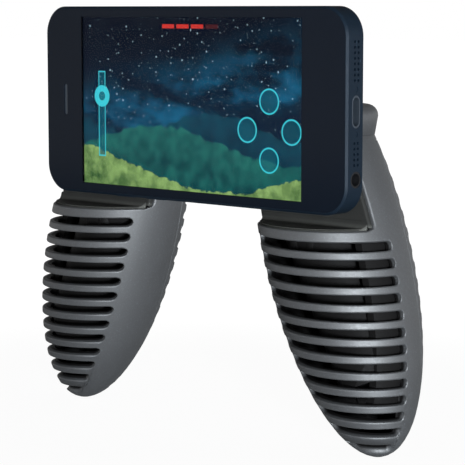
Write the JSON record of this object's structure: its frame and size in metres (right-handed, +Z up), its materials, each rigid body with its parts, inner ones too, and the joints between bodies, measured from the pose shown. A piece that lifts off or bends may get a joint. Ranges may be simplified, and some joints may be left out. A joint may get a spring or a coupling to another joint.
{
  "type": "mobile game controller",
  "caption": "Slim phone held level by a pair of ribbed, egg-shaped hand grips, with pressable edge keys, a card tray and pull-off grips, for playing touch-screen games.",
  "frame": {"origin": "middle of the phone's cover glass, on its front face", "axes": "+X along the screen towards the port end, +Y from the screen to the back, +Z up across the screen, away from the grips"},
  "size_m": [0.1468, 0.0428, 0.1292],
  "materials": {
    "frame_paint": "dark navy anodised, satin",
    "cover_glass": "clear, polished, black border printed behind",
    "display": "lit screen",
    "bright_metal": "stamped and plated",
    "dark_metal": "blackened, satin",
    "inner_plastic": "black moulded",
    "lens_black": "polished lens",
    "flash_lens": "frosted",
    "battery_wrap": "foil pouch",
    "circuit_board": "solder mask",
    "card_plastic": "card with gilt contacts",
    "grip_plastic": "satin, finely grained",
    "core_plastic": "black moulded",
    "pad_rubber": "matt",
    "screw_steel": "blackened"
  },
  "bodies": {
    "phone": {"phone_frame": "frame_paint", "phone_back_plate": "frame_paint", "cover_glass": "cover_glass", "display_panel": "display", "earpiece_mesh": "dark_metal", "earpiece_receiver": "inner_plastic", "front_camera": "lens_black", "rear_camera_module": "inner_plastic", "rear_camera_ring": "frame_paint", "rear_camera_lens": "lens_black", "flash_window": "flash_lens", "battery": "battery_wrap", "logic_board": "circuit_board", "shield_cans": "bright_metal", "loudspeaker": "inner_plastic", "microphone": "bright_metal", "vibration_motor": "bright_metal", "dock_connector": "dark_metal", "dock_tongue": "inner_plastic", "headphone_jack": "inner_plastic", "end_screws": "frame_paint", "key_switches": "bright_metal", "sim_reader": "bright_metal"},
    "volume_up_key": {"volume_up_key": "frame_paint"},
    "volume_down_key": {"volume_down_key": "frame_paint"},
    "power_key": {"power_key": "frame_paint"},
    "mute_switch": {"mute_switch": "frame_paint"},
    "sim_tray": {"sim_tray": "frame_paint", "sim_card": "card_plastic"},
    "left_grip": {"left_grip_shell": "grip_plastic", "left_back_cover": "grip_plastic", "left_core": "core_plastic", "left_top_cap": "grip_plastic", "left_floor_pad": "pad_rubber", "left_back_pad": "pad_rubber", "left_cover_screws": "screw_steel", "left_core_screws": "screw_steel"},
    "right_grip": {"right_grip_shell": "grip_plastic", "right_back_cover": "grip_plastic", "right_core": "core_plastic", "right_top_cap": "grip_plastic", "right_floor_pad": "pad_rubber", "right_back_pad": "pad_rubber", "right_cover_screws": "screw_steel", "right_core_screws": "screw_steel"}
  },
  "joints": [
    {"name": "left_grip_release", "type": "slide", "parent": "phone", "child": "left_grip", "axis": [0, 1, 0], "range_m": [0, 0.025]},
    {"name": "right_grip_release", "type": "slide", "parent": "phone", "child": "right_grip", "axis": [0, 1, 0], "range_m": [0, 0.025]},
    {"name": "volume_up_press", "type": "slide", "parent": "phone", "child": "volume_up_key", "axis": [0, 0, 1], "range_m": [0, 0.0004], "stiffness_N_per_m": 3000},
    {"name": "volume_down_press", "type": "slide", "parent": "phone", "child": "volume_down_key", "axis": [0, 0, 1], "range_m": [0, 0.0004], "stiffness_N_per_m": 3000},
    {"name": "power_press", "type": "slide", "parent": "phone", "child": "power_key", "axis": [1, 0, 0], "range_m": [0, 0.0004], "stiffness_N_per_m": 3000},
    {"name": "mute_slide", "type": "slide", "parent": "phone", "child": "mute_switch", "axis": [0, 1, 0], "range_m": [0, 0.001]},
    {"name": "tray_slide", "type": "slide", "parent": "phone", "child": "sim_tray", "axis": [0, 0, 1], "range_m": [0, 0.017]}
  ]
}
